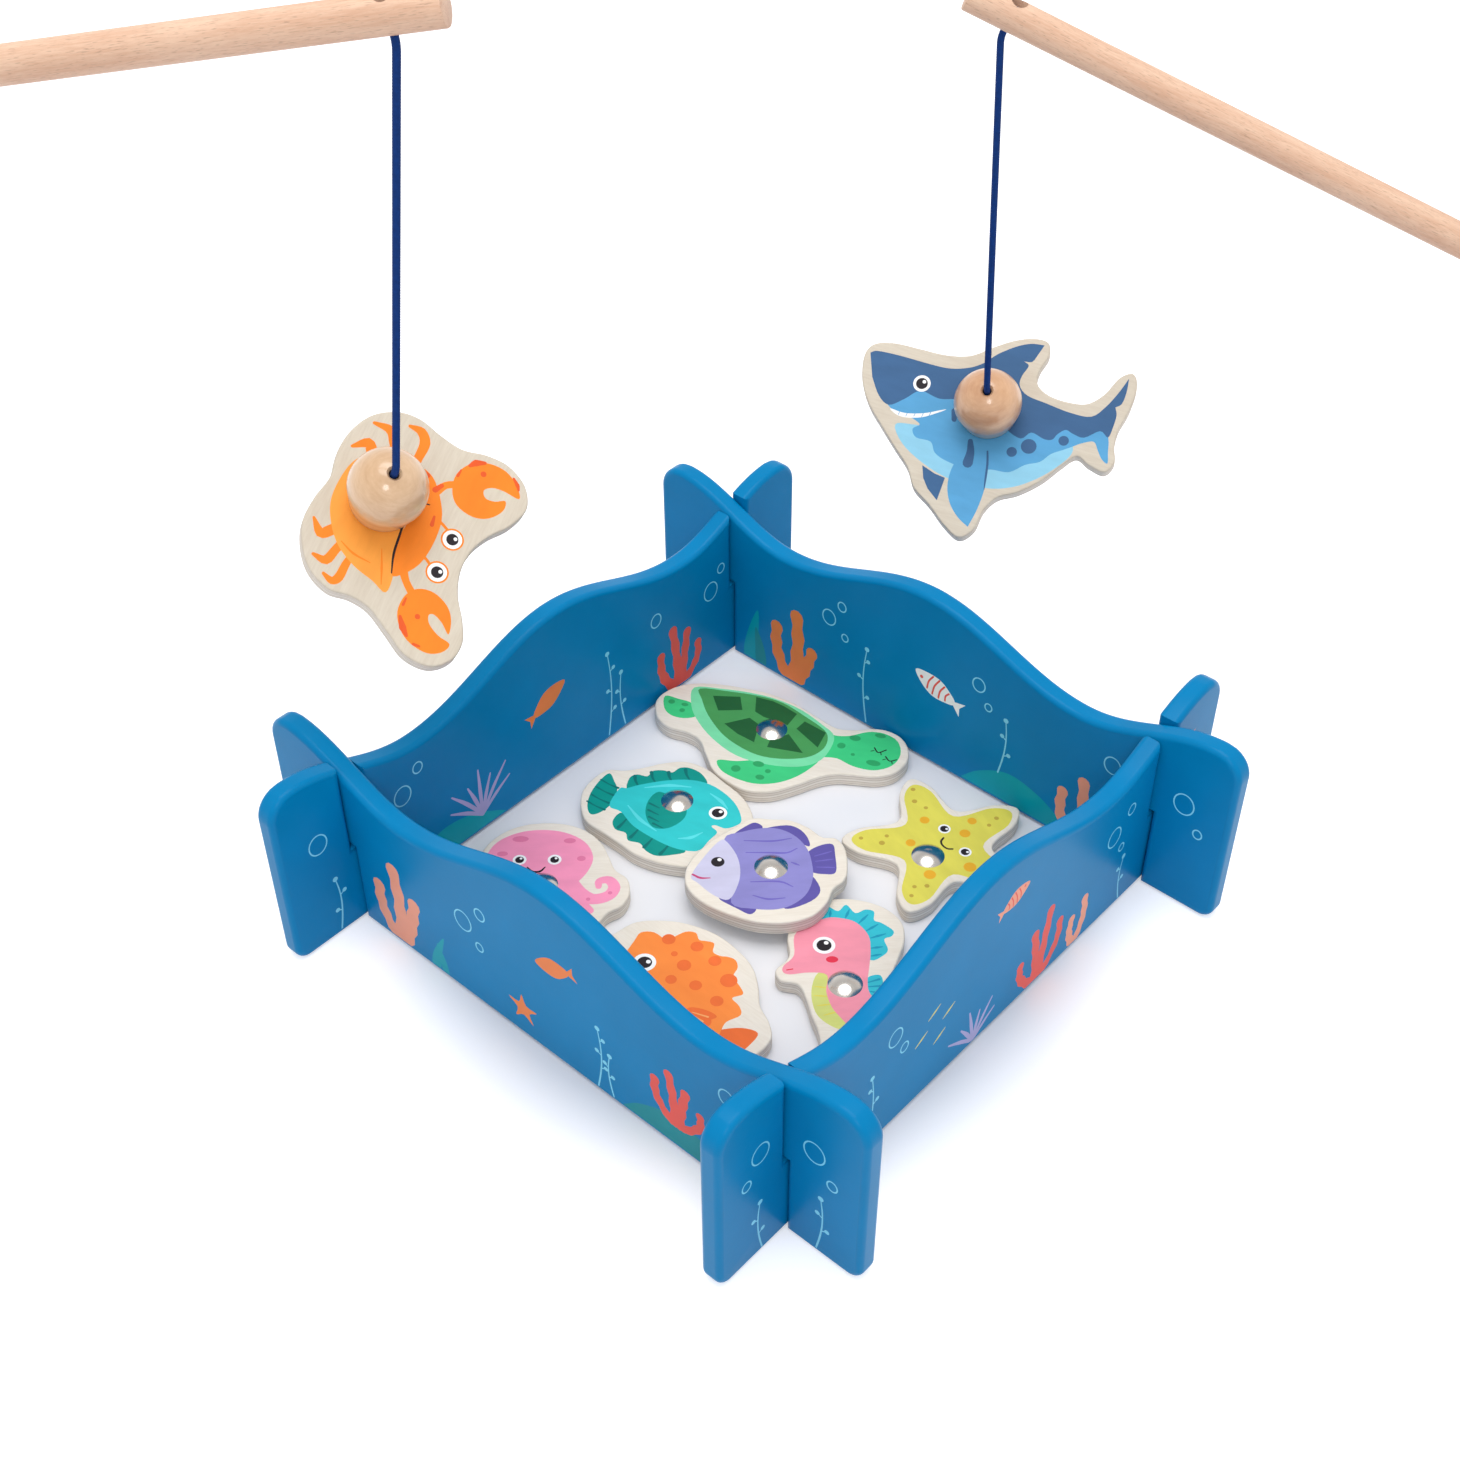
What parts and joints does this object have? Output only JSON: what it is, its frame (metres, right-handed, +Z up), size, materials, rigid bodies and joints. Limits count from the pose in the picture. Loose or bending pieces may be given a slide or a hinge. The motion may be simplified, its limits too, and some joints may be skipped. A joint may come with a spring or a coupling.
{
  "type": "magnetic fishing game",
  "caption": "Wooden magnetic fishing game: a slotted wavy-walled pen, printed sea animals with steel discs, and dowel rods whose lines hold animals by magnets in beads.",
  "frame": {"origin": "the middle of the pen, on the table top that its walls stand on", "axes": "+Z up; X along the front wall, with +X to its right as seen from in front; +Y from the front wall to the back wall"},
  "size_m": [0.4774, 0.4985, 0.3205],
  "materials": {
    "wall_board": "blue gloss paint with a printed undersea pattern, on plywood",
    "printed_plywood": "bare pale plywood, printed in colour on the upper face, clear varnish",
    "disc_steel": "polished, nickel plated",
    "magnet": "plated",
    "bead_wood": "turned, varnished",
    "rod_wood": "sanded beech, bare",
    "line_cord": "braided navy cord"
  },
  "bodies": {
    "root": {"wall_front": "wall_board", "wall_back": "wall_board", "wall_left": "wall_board", "wall_right": "wall_board", "turtle": "printed_plywood", "teal_fish": "printed_plywood", "purple_fish": "printed_plywood", "octopus": "printed_plywood", "pufferfish": "printed_plywood", "seahorse": "printed_plywood", "starfish": "printed_plywood", "crab": "printed_plywood", "shark": "printed_plywood", "turtle_disc": "disc_steel", "teal_fish_disc": "disc_steel", "purple_fish_disc": "disc_steel", "octopus_disc": "disc_steel", "pufferfish_disc": "disc_steel", "seahorse_disc": "disc_steel", "starfish_disc": "disc_steel", "crab_disc": "disc_steel", "shark_disc": "disc_steel", "left_rod": "rod_wood", "left_knot": "line_cord", "left_line": "line_cord", "left_stop_knot": "line_cord", "left_magnet": "magnet", "left_bead": "bead_wood", "right_rod": "rod_wood", "right_knot": "line_cord", "right_line": "line_cord", "right_stop_knot": "line_cord", "right_magnet": "magnet", "right_bead": "bead_wood"}
  },
  "joints": []
}
